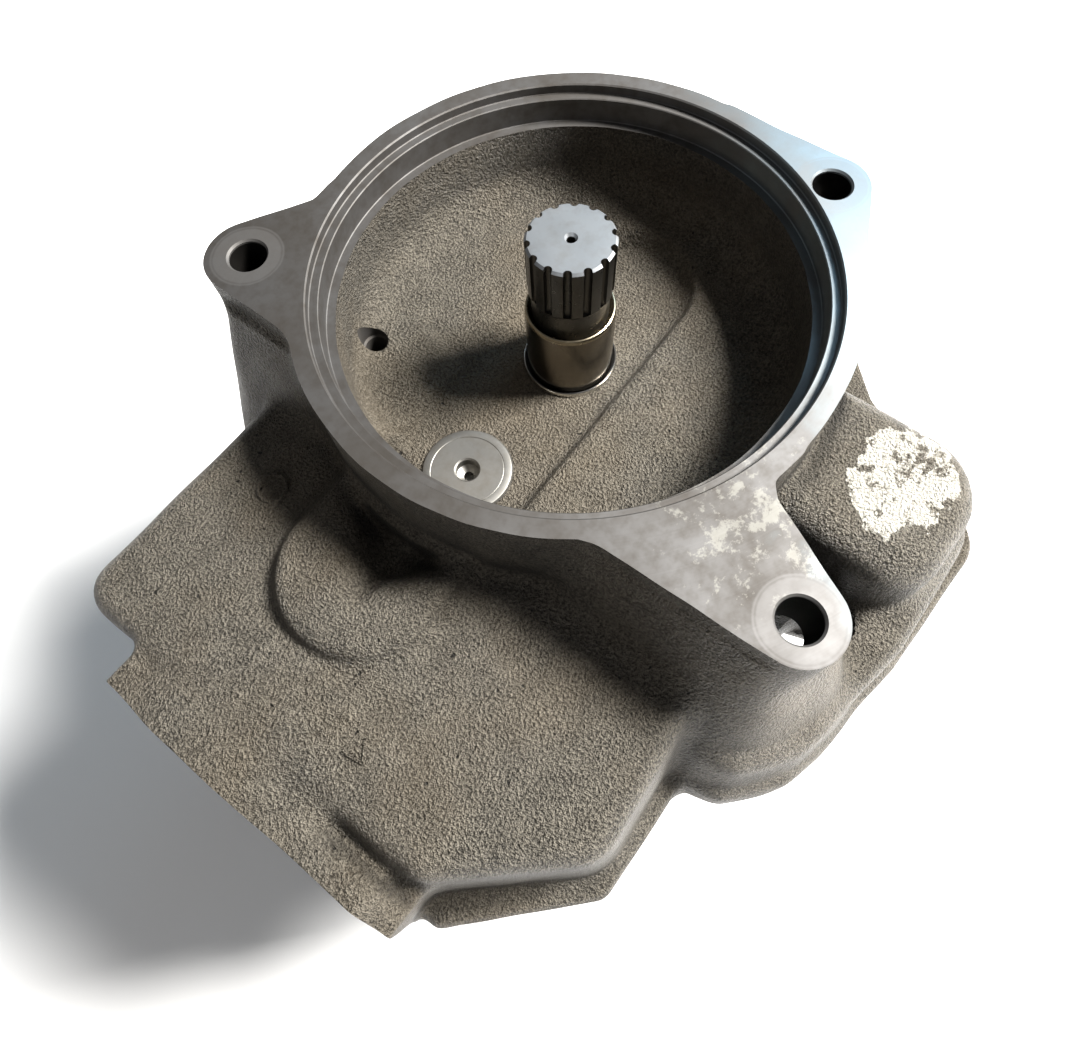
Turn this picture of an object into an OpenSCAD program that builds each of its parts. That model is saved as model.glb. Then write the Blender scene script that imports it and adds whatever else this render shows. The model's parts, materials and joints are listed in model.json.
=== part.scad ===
// Twin axial piston pump, vertical shaft, front end up
/* [Front Case] */
// Pilot bore radius
pilot_r = 115; // [100:1:130]
// Outer radius of the mounting ring
ring_r = 128; // [120:1:140]
// Radius of the seal step at the mounting face
step_r = 119.4; // [116:0.1:124]
// Depth of the seal step
step_d = 4.8; // [2:0.1:8]
// Depth of the pilot wall
pilot_d = 17; // [8:1:24]
// Inner radius of the bowl
bowl_r = 110.5; // [95:0.5:114]
// Depth of the bowl floor
bowl_d = 58; // [50:1:64]
// Depth of the sunk channel in the bowl floor
channel_d = 65; // [60:1:70]
// Half width of the sunk channel
channel_r = 39.5; // [30:0.5:50]
// Thickness of the mounting ears
ear_t = 27; // [15:1:35]
// Radius of the three ear holes
ear_hole_r = 9; // [6:0.5:11]
// Height of the front case below the mounting face
front_h = 125; // [115:1:140]
// Depth of the top surface beside the ring
deck_d = 50; // [40:1:60]

/* [Gear Train] */
// Distance between the two shafts
shaft_gap = 155; // [155:155:155]
// Gear module
gear_m = 5; // [5:5:5]
// Teeth on each gear
gear_z = 31; // [31:31:31]
// Backlash taken off each flank
gear_lash = 0.12; // [0.05:0.01:0.3]

/* [Rotary Groups] */
// Pistons in each group
pistons = 7; // [7:7:7]
// Radius of the piston ball circle
ball_ring_r = 46; // [40:1:48]
// Radius of the bore circle in the block
bore_ring_r = 45.41; // [40:0.01:48]
// Piston ball radius
ball_r = 8; // [6:0.5:9]
// Piston radius
piston_r = 11.7; // [9:0.1:13]
// Bore radius in the block
bore_r = 12.4; // [10:0.05:14]
// Depth of the swash pivot below the mounting face
pivot_d = 205; // [200:1:210]
// Cradle radius of the swash plates
cradle_r = 52; // [45:1:56]
// Arm from the pivot to the servo pin
servo_arm = 40; // [35:1:44]
// Radius of the servo pistons
servo_r = 14; // [12:0.5:16]

/* [Drive Shaft] */
// Spline tip radius
spline_r = 20; // [16:0.5:25]
// Grooves round the spline
spline_n = 14; // [8:1:20]
// Height of the shaft end above the mounting face
shaft_top = 20; // [10:1:40]
// Outer radius of the wear sleeve
sleeve_r = 22; // [18:0.5:26]

/* [Hidden] */
$fn = 96;
eps = 0.01;
iron = [0.42, 0.40, 0.36];
steel = [0.72, 0.73, 0.75];
dark = [0.30, 0.30, 0.32];
brass = [0.72, 0.58, 0.30];
rubber = [0.08, 0.08, 0.08];
cx = [0, -shaft_gap];
zb = -pivot_d;
rear_z = -300;
base_z = -372;
ear_a = [-79, 127];
ear_b = [111, -69];
ear_c = [-79, -160];
ear_a_pts = [[-99.5, 127], [-99.5, 78], [-60, 60], [-20, 100], [-25, 124.6], [-36, 125], [-68.4, 144.5], ear_a];
ear_b_pts = [[129, -69], [127.8, -4], [90, 10], [30, -90], [40, -121.4], [118.5, -85.3], ear_b];
ear_c_pts = [[-97, -160], [-99, -80], [-60, -50], [0, -90], [-19, -126.5], [-36, -124.5],
    [-43, -130], [-62.9, -168], ear_c];
deck_pts = [[-242, 106, 16], [118, 106, 30], [118, -112, 20], [60, -128, 8], [-98, -128, 8],
    [-112, -160, 6], [-192, -160, 16], [-246, -110, 12]];
hip_pts = [[64, -100, 8], [70, -216, 24], [-30, -212, 16], [-100, -200, 14], [-129, -182, 8], [-129, -100, 6]];
lip_pts = [[-250, 112, 16], [132, 118, 30], [132, -128, 20], [66, -228, 24], [-26, -221, 20],
    [-104, -208, 14], [-132, -186, 8], [-134, -168, 2], [-200, -168, 10], [-257, -114, 8]];
lump_pts = [[56, -120, 6], [56, -203, 28], [-24, -203, 28], [-24, -120, 6]];
low_pts = [[-236, 86, 26], [82, 86, 26], [82, -86, 26], [-236, -86, 26]];
foot_pts = [[-246, 104, 22], [92, 104, 22], [92, -96, 22], [-246, -96, 22]];
case_bolts_xy = [[-239, 96], [-77, 104], [115, 98], [115, -10], [100, -118], [30, -204],
    [-104, -188], [-178, -150], [-241, -100]];
rear_bolts_xy = [[-228, 86], [-77, 88], [74, 86], [-228, -78], [-77, -82], [74, -78]];
drain_xy = [-57.8, 84.2];
plug_xy = [-84, 1.5];

// corner points [x, y, r] of a clockwise or anticlockwise outline become arcs
function unit(v) = v / norm(v);
function corner(a, p, b, r) =
    let (u = unit([a[0] - p[0], a[1] - p[1]]), v = unit([b[0] - p[0], b[1] - p[1]]),
        half = acos(u * v) / 2, t = r / tan(half), m = unit(u + v),
        c = [p[0], p[1]] + m * (r / sin(half)),
        p1 = [p[0], p[1]] + u * t, p2 = [p[0], p[1]] + v * t,
        a1 = atan2(p1[1] - c[1], p1[0] - c[0]), a2 = atan2(p2[1] - c[1], p2[0] - c[0]),
        d = a2 - a1, s = d > 180 ? d - 360 : (d < -180 ? d + 360 : d))
    [for (i = [0:4]) c + r * [cos(a1 + s * i / 4), sin(a1 + s * i / 4)]];
function rounded(pts) =
    let (n = len(pts))
    [for (i = [0:n - 1]) each corner(pts[(i + n - 1) % n], pts[i], pts[(i + 1) % n], pts[i][2])];

module slab(pts, z0, z1) {
    translate([0, 0, z0]) linear_extrude(z1 - z0) polygon(rounded(pts));
}

module flat(pts, z0, z1) {
    translate([0, 0, z0]) linear_extrude(z1 - z0) polygon(pts);
}

module rod(x, y, r, z0, z1) {
    translate([x, y, z0]) cylinder(r = r, h = z1 - z0);
}

module tube(x, y, r1, r0, z0, z1) {
    difference() {
        rod(x, y, r1, z0, z1);
        rod(x, y, r0, z0 - 1, z1 + 1);
    }
}

module block(x0, x1, y0, y1, z0, z1) {
    translate([x0, y0, z0]) cube([x1 - x0, y1 - y0, z1 - z0]);
}

module rod_x(y, z, r, x0, x1) {
    translate([x0, y, z]) rotate([0, 90, 0]) cylinder(r = r, h = x1 - x0);
}

module rod_y(x, z, r, y0, y1) {
    translate([x, y0, z]) rotate([-90, 0, 0]) cylinder(r = r, h = y1 - y0);
}

module capsule(x0, x1, r, z0, z1) {
    rod(x0, 0, r, z0, z1);
    rod(x1, 0, r, z0, z1);
    block(x0, x1, -r, r, z0, z1);
}

module ear_holes(r, z0, z1) {
    for (p = [ear_a, ear_b, ear_c]) rod(p[0], p[1], r, z0, z1);
}

// ---- casings ----

module front_case() {
    color(iron) difference() {
        union() {
            rod(0, 0, ring_r, -front_h, 0);
            flat(ear_a_pts, -ear_t, 0);
            flat(ear_b_pts, -ear_t, 0);
            flat(ear_c_pts, -ear_t, 0);
            rod(ear_a[0], ear_a[1], 20.5, -ear_t, 0);
            rod(ear_b[0], ear_b[1], 18, -ear_t, 0);
            rod(ear_c[0], ear_c[1], 18, -ear_t, 0);
            // walls under the ears
            block(-118, -92, 60, 106, -60, -ear_t + 2);
            block(-118, -92, -172, -78, -front_h + 6, -ear_t + 2);
            block(92, 126, -60, -40, -front_h + 6, -ear_t + 2);
            // deck, hip under the lump, lump and lower lip
            slab(deck_pts, -front_h + 5, -deck_d);
            slab(hip_pts, -front_h + 5, -78);
            slab(lump_pts, -front_h + 5, -44);
            slab(lip_pts, -front_h, -front_h + 12);
            // machined pad for the regulator and the raised end of the channel
            block(-261, -200, -103, 62, -front_h, -deck_d - 3);
            capsule(-shaft_gap, -100, 42, -deck_d - 4, -deck_d + 7);
        }
        // bowl
        rod(0, 0, step_r, -step_d + 1.2, 1);
        translate([0, 0, -step_d]) cylinder(r1 = pilot_r, r2 = step_r, h = 1.2 + eps);
        rod(0, 0, pilot_r, -pilot_d, 1);
        rod(0, 0, bowl_r, -bowl_d, 1);
        intersection() {
            rod(0, 0, bowl_r - 4, -channel_d, -bowl_d + 1);
            capsule(-120, 51, channel_r, -channel_d, -bowl_d + 1);
        }
        ear_holes(ear_hole_r, -front_h - 1, 1);
        ear_holes(19, -front_h - 1, -ear_t);
        // open shaft for the third mounting bolt
        hole_slot();
        // seal and bearing pockets, gear chamber
        rod(0, 0, 24.6, -80, -60);
        rod(0, 0, 30, -97, -67);
        for (x = cx) rod(x, 0, 36, -98, -74);
        rod(-shaft_gap, 0, 26, -98, -68);
        for (x = cx) rod(x, 0, 86, -front_h - 1, -97);
        block(-shaft_gap, 0, -62, 62, -front_h - 1, -97);
        // cored pockets in the lump and beside the gears
        block(-8, 40, -188, -136, -front_h - 1, -58);
        block(-226, -140, -134, -96, -front_h - 1, -64);
        // plug seat and drain hole in the bowl floor
        rod(plug_xy[0], plug_xy[1], 23, -77, -60);
        rod(plug_xy[0], plug_xy[1], 8, -98, -60);
        rod(drain_xy[0], drain_xy[1], 6, -104, -50);
        for (p = case_bolts_xy) rod(p[0], p[1], 6, -front_h - 1, -103);
        // tapped holes in the pad
        for (y = [-82, 42]) for (z = [-68, -108]) rod_x(y, z, 5, -262, -240);
        rod_x(-20, -88, 12, -262, -236);
    }
}

module hole_slot() {
    translate([-77, -167, 0]) rotate([0, 0, -20.6])
        slab([[-10, -10, 9.8], [52.7, -10, 9.8], [52.7, 10, 9.8], [-10, 10, 9.8]], -142, -ear_t);
}

module main_case() {
    color(iron) difference() {
        union() {
            slab(lip_pts, -139, -front_h);
            slab(low_pts, rear_z, -132);
            slab(foot_pts, rear_z, rear_z + 18);
            // servo housings
            block(-48, 82, 70, 106, zb + 20, zb + 60);
            block(-222, -104, 70, 106, zb + 20, zb + 60);
            rod_y(-77, -236, 20, -94, -80);
        }
        difference() {
            capsule(-shaft_gap, 0, 70, rear_z - 1, -145);
            for (x = cx) for (s = [-1, 1]) difference() {
                block(x - 34, x + 34, s > 0 ? 32 : -54, s > 0 ? 54 : -32, zb + 36, -144);
                rod_y(x, zb, cradle_r + 2, -70, 70);
            }
        }
        for (x = cx) rod(x, 0, 26, -146, -front_h + 1);
        hole_slot();
        rod(ear_a[0], ear_a[1], 19, -140, -front_h + 1);
        rod(ear_b[0], ear_b[1], 19, -140, -front_h + 1);
        for (p = case_bolts_xy) rod(p[0], p[1], 6.6, -140, -front_h + 1);
        for (p = rear_bolts_xy) rod(p[0], p[1], 7, rear_z - 1, rear_z + 32);
        rod_x(88, zb + servo_arm, servo_r + 0.03, -38, 83);
        rod_x(88, zb + servo_arm, servo_r + 0.03, -223, -108);
        rod_x(88, zb + servo_arm, 19, -240, -222);
        for (x = cx) block(x - 9, x + 18, 66, 80, zb + servo_arm - 9, zb + servo_arm + 9);
        rod_y(-77, -236, 12, -95, -60);
    }
}

module kidney(x, a0, a1, w, z0, z1) {
    translate([x, 0, z0]) rotate([0, 0, a0]) rotate_extrude(angle = a1 - a0)
        translate([bore_ring_r - w, 0]) square([2 * w, z1 - z0]);
    for (a = [a0, a1]) rod(x + bore_ring_r * cos(a), bore_ring_r * sin(a), w, z0, z1);
}

module port_block() {
    color(iron) difference() {
        slab(foot_pts, base_z, rear_z);
        for (x = cx) {
            kidney(x, 205, 335, 7, rear_z - 40, rear_z + 1);
            kidney(x, 30, 150, 6, rear_z - 40, rear_z + 1);
            rod(x, 0, 27, rear_z - 28, rear_z + 1);
            rod_y(x, rear_z - 36, 25, -97, -50);
            rod_y(x, rear_z - 36, 14, -52, -42);
            rod_y(x, rear_z - 36, 12.5, 42, 105);
            for (i = [-1, 1]) for (k = [-1, 1]) {
                rod_y(x + i * 38.9, rear_z - 36 + k * 21.45, 6, -97, -74);
                rod_y(x + i * 28.6, rear_z - 36 + k * 13.9, 6, 84, 105);
            }
        }
        for (p = rear_bolts_xy) {
            rod(p[0], p[1], 7.5, base_z - 1, rear_z + 1);
            rod(p[0], p[1], 12, base_z - 1, base_z + 16);
        }
    }
}

// ---- shafts, gears and bearings ----

module drive_shaft() {
    color(steel) difference() {
        union() {
            rod(0, 0, spline_r, -8, shaft_top - 1.5);
            translate([0, 0, shaft_top - 1.5]) cylinder(r1 = spline_r, r2 = spline_r - 1.5, h = 1.5);
            rod(0, 0, 18.5, -66, -7.9);
            rod(0, 0, 20, -96, -65.9);
            rod(0, 0, 22, -124, -95.9);
            rod(0, 0, 15, -302, -123.9);
            rod(0, 0, 13, -328, -301.9);
        }
        for (i = [0:spline_n - 1]) rotate([0, 0, 360 * i / spline_n]) {
            rod(19.5, 0, 1.9, -9, shaft_top + 1);
            block(19.5, 23, -1.9, 1.9, -9, shaft_top + 1);
        }
        rod(0, 0, 2.6, shaft_top - 8, shaft_top + 1);
    }
}

module driven_shaft() {
    color(steel) translate([-shaft_gap, 0, 0]) {
        rod(0, 0, 20, -96, -73);
        rod(0, 0, 22, -124, -95.9);
        rod(0, 0, 15, -302, -123.9);
        rod(0, 0, 13, -328, -301.9);
    }
}

function inv_deg(a) = tan(a) * 180 / PI - a;
function tooth_half(r, rp) =
    let (rb = rp * cos(20))
    90 / gear_z + inv_deg(20) - (r > rb ? inv_deg(acos(rb / r)) : 0) - gear_lash / rp * 180 / PI;
function gear_pts() =
    let (rp = gear_m * gear_z / 2, rr = [rp - 6, rp - 4, rp - 1.5, rp + 1.5, rp + 4.8])
    [for (k = [0:gear_z - 1]) each concat(
        [for (i = [0:4]) let (a = k * 360 / gear_z - tooth_half(rr[i], rp)) rr[i] * [cos(a), sin(a)]],
        [for (i = [0:4]) let (a = k * 360 / gear_z + tooth_half(rr[4 - i], rp)) rr[4 - i] * [cos(a), sin(a)]])];

module gear(x) {
    color(steel) translate([x, 0, 0]) difference() {
        translate([0, 0, -122]) linear_extrude(23) polygon(gear_pts());
        rod(0, 0, 22, -123, -98);
        difference() {
            rod(0, 0, 60, -103, -98);
            rod(0, 0, 34, -104, -97);
        }
        for (i = [0:5]) rotate([0, 0, 60 * i]) rod(47, 0, 8, -123, -98);
    }
}

module drive_gear() {
    gear(0);
}

module driven_gear() {
    gear(-shaft_gap);
}

module outer_races() {
    color(steel) for (x = cx) {
        tube(x, 0, 36, 32, -94, -74.1);
        tube(x, 0, 27, 22.2, rear_z - 26, rear_z - 6);
    }
}

module rollers(x) {
    color(steel) translate([x, 0, 0]) {
        tube(0, 0, 25, 20, -94, -75);
        tube(0, 0, 30.5, 24, -93.5, -91.5);
        tube(0, 0, 30.5, 24, -77.5, -75.5);
        for (i = [0:15]) rotate([0, 0, 22.5 * i]) rod(28.48, 0, 3.45, -93, -76);
        tube(0, 0, 17, 13, rear_z - 26, rear_z - 6);
        tube(0, 0, 21.3, 16, rear_z - 25.5, rear_z - 24);
        tube(0, 0, 21.3, 16, rear_z - 8, rear_z - 6.5);
        for (i = [0:15]) rotate([0, 0, 22.5 * i]) rod(19.6, 0, 2.54, rear_z - 25, rear_z - 7);
    }
}

module drive_rollers() {
    rollers(0);
}

module driven_rollers() {
    rollers(-shaft_gap);
}

module wear_sleeve() {
    color(steel) difference() {
        union() {
            rod(0, 0, sleeve_r, -74, -24.5);
            translate([0, 0, -24.5]) cylinder(r1 = sleeve_r, r2 = sleeve_r - 1.5, h = 1.5);
        }
        rod(0, 0, 18.5, -66, 0);
        rod(0, 0, 20, -75, -65.9);
    }
}

module shaft_seal() {
    color(rubber) difference() {
        rod(0, 0, 30, -73.5, -67);
        rod(0, 0, sleeve_r + 0.05, -74, -66);
        tube(0, 0, 28, 24, -74, -69);
    }
}

module dust_ring() {
    color(steel) tube(0, 0, 24.6, 22.6, -66.5, -63.6);
}

module bowl_plug() {
    color(steel) difference() {
        union() {
            rod(plug_xy[0], plug_xy[1], 22.4, -66, -64.6);
            rod(plug_xy[0], plug_xy[1], 23, -77, -66);
        }
        rod(plug_xy[0], plug_xy[1], 5.8, -72, -64);
        rod(plug_xy[0], plug_xy[1], 2.5, -78, -71);
    }
}

// ---- rotary groups ----

module cradle_shells() {
    color(brass) for (x = cx) for (s = [-1, 1]) intersection() {
        difference() {
            rod_y(x, zb, cradle_r + 2, s > 0 ? 32 : -54, s > 0 ? 54 : -32);
            rod_y(x, zb, cradle_r + 0.03, -70, 70);
        }
        block(x - 34, x + 34, -61, 61, zb + 20, zb + 70);
    }
}

module swash(x) {
    color(steel) translate([x, 0, zb]) difference() {
        union() {
            rod(0, 0, 64, 12, 25);
            for (s = [-1, 1]) intersection() {
                rod_y(0, 0, cradle_r, s > 0 ? 32 : -54, s > 0 ? 54 : -32);
                block(-34, 34, -61, 61, 20, 60);
            }
            rod_y(0, servo_arm, 6, 50, 88);
            translate([0, 88, servo_arm]) sphere(r = 8);
        }
        rod(0, 0, 30, 11, 61);
    }
}

module swash_1() {
    swash(0);
}

module swash_2() {
    swash(-shaft_gap);
}

module retainer(x) {
    color(steel) translate([x, 0, zb]) difference() {
        rod(0, 0, 61, 3.4, 6.9);
        sphere(r = 22.03);
        for (i = [0:pistons - 1]) rotate([0, 0, 360 * i / pistons]) rod(ball_ring_r, 0, 11.3, 3, 7);
    }
}

module retainer_1() {
    retainer(0);
}

module retainer_2() {
    retainer(-shaft_gap);
}

module ball_guide(x) {
    color(steel) translate([x, 0, zb]) difference() {
        union() {
            intersection() {
                sphere(r = 22);
                rod(0, 0, 23, -12, 10);
            }
            rod(0, 0, 18.4, -17, -11.9);
        }
        rod(0, 0, 15, -18, 11);
    }
}

module ball_guide_1() {
    ball_guide(0);
}

module ball_guide_2() {
    ball_guide(-shaft_gap);
}

module disc_springs(x) {
    color(dark) for (i = [0:8]) {
        tube(x, 0, 23, 15.5, -258 + 4 * i, -256 + 4 * i);
        if (i < 8) tube(x, 0, i % 2 == 0 ? 23 : 17.5, i % 2 == 0 ? 21 : 15.5, -256.1 + 4 * i, -253.9 + 4 * i);
    }
}

module disc_springs_1() {
    disc_springs(0);
}

module disc_springs_2() {
    disc_springs(-shaft_gap);
}

module cylinder_block(x) {
    color(steel) translate([x, 0, 0]) difference() {
        union() {
            rod(0, 0, 64, rear_z + 6.02, -224);
        }
        rod(0, 0, 15, rear_z, -223);
        rod(0, 0, 24, -258.1, -223);
        for (i = [0:pistons - 1]) rotate([0, 0, 360 * i / pistons]) {
            rod(bore_ring_r, 0, bore_r, -288, -223);
            rod(bore_ring_r, 0, 5.5, rear_z, -287);
        }
    }
}

module block_1() {
    cylinder_block(0);
}

module block_2() {
    cylinder_block(-shaft_gap);
}

module valve_plates() {
    color(brass) for (x = cx) difference() {
        rod(x, 0, 62, rear_z, rear_z + 6);
        rod(x, 0, 28, rear_z - 1, rear_z + 7);
        kidney(x, 205, 335, 5.5, rear_z - 1, rear_z + 7);
        kidney(x, 30, 150, 4.5, rear_z - 1, rear_z + 7);
    }
}

module servo_piston(x) {
    color(steel) difference() {
        rod_x(88, zb + servo_arm, servo_r, x - 34, x + 34);
        block(x - 8.2, x + 8.2, 72, 97, zb + servo_arm - 15, zb + servo_arm + 15);
        rod_x(88, zb + servo_arm, 8, x - 35, x - 14);
        rod_x(88, zb + servo_arm, 8, x + 14, x + 35);
    }
}

module servo_piston_1() {
    servo_piston(0);
}

module servo_piston_2() {
    servo_piston(-shaft_gap);
}

module piston(x, i) {
    color(steel) translate([x, 0, zb]) rotate([0, 0, 360 * i / pistons]) translate([ball_ring_r, 0, 0])
        difference() {
            union() {
                sphere(r = ball_r);
                rod(0, 0, 5, -14, -4);
                translate([0, 0, -18]) cylinder(r1 = piston_r, r2 = 8, h = 5);
                rod(0, 0, piston_r, -70, -17.9);
            }
            rod(0, 0, 7, -71, -24);
            rod(0, 0, 1.2, -25, 9);
        }
}

module slipper(x, i) {
    color(brass) translate([x, 0, zb]) rotate([0, 0, 360 * i / pistons]) translate([ball_ring_r, 0, 0])
        difference() {
            union() {
                rod(0, 0, 15, 7, 11.98);
                rod(0, 0, 11, -4, 7.1);
            }
            sphere(r = ball_r + 0.03);
            rod(0, 0, 1.2, 0, 13);
            rod(0, 0, 8, 11.2, 13);
        }
}

// ---- fasteners ----

module hex_socket(x, y, z, af, d) {
    translate([x, y, z]) cylinder(r = af / 2 / cos(30), h = d, $fn = 6);
}

module case_bolts() {
    color(dark) for (p = case_bolts_xy) difference() {
        union() {
            rod(p[0], p[1], 9, -151, -139);
            rod(p[0], p[1], 6, -139.1, -105);
        }
        hex_socket(p[0], p[1], -152, 10, 7);
    }
}

module rear_bolts() {
    color(dark) for (p = rear_bolts_xy) difference() {
        union() {
            rod(p[0], p[1], 10.5, base_z + 2, base_z + 16);
            rod(p[0], p[1], 7, base_z + 15.9, rear_z + 28);
        }
        hex_socket(p[0], p[1], base_z + 1, 12, 8);
    }
}

module servo_plugs() {
    color(dark) difference() {
        union() {
            rod_x(88, zb + servo_arm, servo_r + 0.03, 50, 83);
            rod_x(88, zb + servo_arm, 18, 82, 90);
            rod_x(88, zb + servo_arm, servo_r + 0.03, -223, -199);
            rod_x(88, zb + servo_arm, 18, -230, -222);
        }
        translate([84, 88, zb + servo_arm]) rotate([0, 90, 0]) cylinder(r = 7, h = 8, $fn = 6);
        translate([-231, 88, zb + servo_arm]) rotate([0, 90, 0]) cylinder(r = 7, h = 7, $fn = 6);
    }
}

module case_plug() {
    color(dark) difference() {
        union() {
            rod_y(-77, -236, 12, -94, -74);
            rod_y(-77, -236, 17, -101, -94);
        }
        translate([-77, -102, -236]) rotate([-90, 0, 0]) cylinder(r = 7, h = 7, $fn = 6);
    }
}

front_case();
main_case();
port_block();
drive_shaft();
driven_shaft();
drive_gear();
driven_gear();
outer_races();
drive_rollers();
driven_rollers();
wear_sleeve();
shaft_seal();
dust_ring();
bowl_plug();
cradle_shells();
valve_plates();
case_bolts();
rear_bolts();
servo_plugs();
case_plug();
swash_1();
swash_2();
retainer_1();
retainer_2();
ball_guide_1();
ball_guide_2();
disc_springs_1();
disc_springs_2();
block_1();
block_2();
servo_piston_1();
servo_piston_2();
piston(cx[0], 0);  // piston_1_0
piston(cx[0], 1);  // piston_1_1
piston(cx[0], 2);  // piston_1_2
piston(cx[0], 3);  // piston_1_3
piston(cx[0], 4);  // piston_1_4
piston(cx[0], 5);  // piston_1_5
piston(cx[0], 6);  // piston_1_6
piston(cx[1], 0);  // piston_2_0
piston(cx[1], 1);  // piston_2_1
piston(cx[1], 2);  // piston_2_2
piston(cx[1], 3);  // piston_2_3
piston(cx[1], 4);  // piston_2_4
piston(cx[1], 5);  // piston_2_5
piston(cx[1], 6);  // piston_2_6
slipper(cx[0], 0);  // slipper_1_0
slipper(cx[0], 1);  // slipper_1_1
slipper(cx[0], 2);  // slipper_1_2
slipper(cx[0], 3);  // slipper_1_3
slipper(cx[0], 4);  // slipper_1_4
slipper(cx[0], 5);  // slipper_1_5
slipper(cx[0], 6);  // slipper_1_6
slipper(cx[1], 0);  // slipper_2_0
slipper(cx[1], 1);  // slipper_2_1
slipper(cx[1], 2);  // slipper_2_2
slipper(cx[1], 3);  // slipper_2_3
slipper(cx[1], 4);  // slipper_2_4
slipper(cx[1], 5);  // slipper_2_5
slipper(cx[1], 6);  // slipper_2_6
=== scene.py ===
import json
import math
import numpy as np
import bpy
import bmesh
from mathutils import Matrix, Vector

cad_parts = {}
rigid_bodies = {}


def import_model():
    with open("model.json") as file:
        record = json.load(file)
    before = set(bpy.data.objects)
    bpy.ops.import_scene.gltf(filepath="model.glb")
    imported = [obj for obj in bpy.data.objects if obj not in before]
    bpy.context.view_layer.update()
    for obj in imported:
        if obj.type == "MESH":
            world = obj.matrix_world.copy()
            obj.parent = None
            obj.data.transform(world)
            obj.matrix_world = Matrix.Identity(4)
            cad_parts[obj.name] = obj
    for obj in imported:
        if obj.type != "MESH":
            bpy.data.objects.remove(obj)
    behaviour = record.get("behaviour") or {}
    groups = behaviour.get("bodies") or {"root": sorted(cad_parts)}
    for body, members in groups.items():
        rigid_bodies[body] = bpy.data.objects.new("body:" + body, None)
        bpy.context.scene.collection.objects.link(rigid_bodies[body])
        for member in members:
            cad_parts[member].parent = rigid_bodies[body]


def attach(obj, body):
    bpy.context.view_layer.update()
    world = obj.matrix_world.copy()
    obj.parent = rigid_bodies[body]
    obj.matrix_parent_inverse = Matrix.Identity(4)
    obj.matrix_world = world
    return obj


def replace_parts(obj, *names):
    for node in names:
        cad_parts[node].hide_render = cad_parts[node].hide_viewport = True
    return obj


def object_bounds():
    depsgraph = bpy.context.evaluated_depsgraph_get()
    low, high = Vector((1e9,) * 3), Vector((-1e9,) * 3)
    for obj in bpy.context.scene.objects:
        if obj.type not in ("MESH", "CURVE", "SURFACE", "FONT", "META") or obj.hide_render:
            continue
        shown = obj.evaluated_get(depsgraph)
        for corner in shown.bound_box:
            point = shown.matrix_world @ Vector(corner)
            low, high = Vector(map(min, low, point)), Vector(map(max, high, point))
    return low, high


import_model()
names = sorted(o.name for o in bpy.data.objects if o.type == "MESH")
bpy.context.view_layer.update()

MM = 0.001
GAP = 155.0
GRID = 1.7

EAR_A, EAR_B, EAR_C = (-79.0, 127.0), (111.0, -69.0), (-79.0, -160.0)
SHAFTS = (0.0, -GAP)


# ---------------------------------------------------------------- materials

class Mat:
    """A node material built with a few helpers."""

    def __init__(self, name, base, metallic, rough):
        self.m = bpy.data.materials.new(name)
        self.m.use_nodes = True
        self.t = self.m.node_tree
        self.b = self.t.nodes["Principled BSDF"]
        self.b.inputs["Base Color"].default_value = (*base, 1)
        self.b.inputs["Metallic"].default_value = metallic
        self.b.inputs["Roughness"].default_value = rough
        self.co = self.t.nodes.new("ShaderNodeTexCoord").outputs["Object"]

    def node(self, kind, **props):
        n = self.t.nodes.new(kind)
        for k, v in props.items():
            setattr(n, k, v)
        return n

    def link(self, a, b):
        self.t.links.new(a, b)

    def put(self, value, socket):
        if hasattr(value, "is_output"):
            self.link(value, socket)
        else:
            socket.default_value = value

    def scaled(self, x, y, z, shift=(0, 0, 0)):
        n = self.node("ShaderNodeMapping")
        self.link(self.co, n.inputs[0])
        n.inputs["Scale"].default_value = (x, y, z)
        n.inputs["Location"].default_value = shift
        return n.outputs[0]

    def noise(self, scale, detail=3.0, rough=0.5, co=None):
        n = self.node("ShaderNodeTexNoise")
        self.link(co or self.co, n.inputs["Vector"])
        n.inputs["Scale"].default_value = scale
        n.inputs["Detail"].default_value = detail
        n.inputs["Roughness"].default_value = rough
        return n.outputs[0]

    def ramp(self, value, stops):
        n = self.node("ShaderNodeValToRGB")
        self.put(value, n.inputs[0])
        e = n.color_ramp.elements
        while len(e) < len(stops):
            e.new(0.5)
        for i, (p, c) in enumerate(stops):
            e[i].position = p
            e[i].color = (c, c, c, 1) if not hasattr(c, "__len__") else (*c, 1)
        return n.outputs[0]

    def math(self, op, a, b=0.0, clamp=False):
        n = self.node("ShaderNodeMath", operation=op, use_clamp=clamp)
        self.put(a, n.inputs[0])
        self.put(b, n.inputs[1])
        return n.outputs[0]

    def mix(self, f, a, b):
        n = self.node("ShaderNodeMix", data_type="RGBA")
        self.put(f, n.inputs[0])
        self.put(a if hasattr(a, "is_output") else (*a, 1), n.inputs[6])
        self.put(b if hasattr(b, "is_output") else (*b, 1), n.inputs[7])
        return n.outputs[2]

    def xyz(self):
        n = self.node("ShaderNodeSeparateXYZ")
        self.link(self.co, n.inputs[0])
        return n.outputs

    def bump(self, height, strength, distance, normal=None):
        n = self.node("ShaderNodeBump")
        self.put(height, n.inputs["Height"])
        n.inputs["Strength"].default_value = strength
        n.inputs["Distance"].default_value = distance
        if normal is not None:
            self.link(normal, n.inputs["Normal"])
        return n.outputs[0]

    def finish(self, color=None, rough=None, normal=None, metallic=None):
        for v, s in ((color, "Base Color"), (rough, "Roughness"), (normal, "Normal"), (metallic, "Metallic")):
            if v is not None:
                self.link(v, self.b.inputs[s])
        return self.m


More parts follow.
